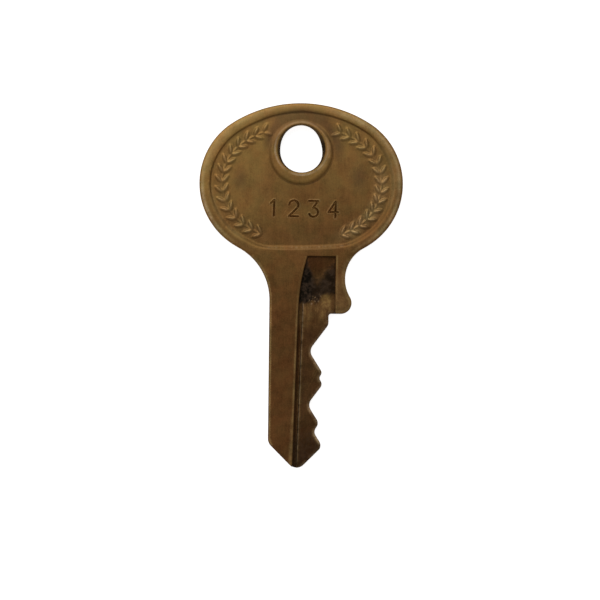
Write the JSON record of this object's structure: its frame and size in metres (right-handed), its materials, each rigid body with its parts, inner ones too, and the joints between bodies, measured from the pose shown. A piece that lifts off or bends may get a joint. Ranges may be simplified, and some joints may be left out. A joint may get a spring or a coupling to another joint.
{
  "type": "padlock key",
  "caption": "Flat brass padlock key with an oval bow, a round ring hole in a raised collar, a shouldered neck and a milled blade with V cuts.",
  "frame": {"origin": "centre of the key's box on the back face, which lies on the table", "axes": "+Z out of the front face, +Y along the key from the tip to the bow, +X towards the side with the cuts"},
  "size_m": [0.024, 0.043, 0.002],
  "materials": {
    "brass": "struck brass, worn satin and tarnished brown, with dark grime in the milled land"
  },
  "bodies": {
    "root": {"key": "brass"}
  },
  "joints": []
}
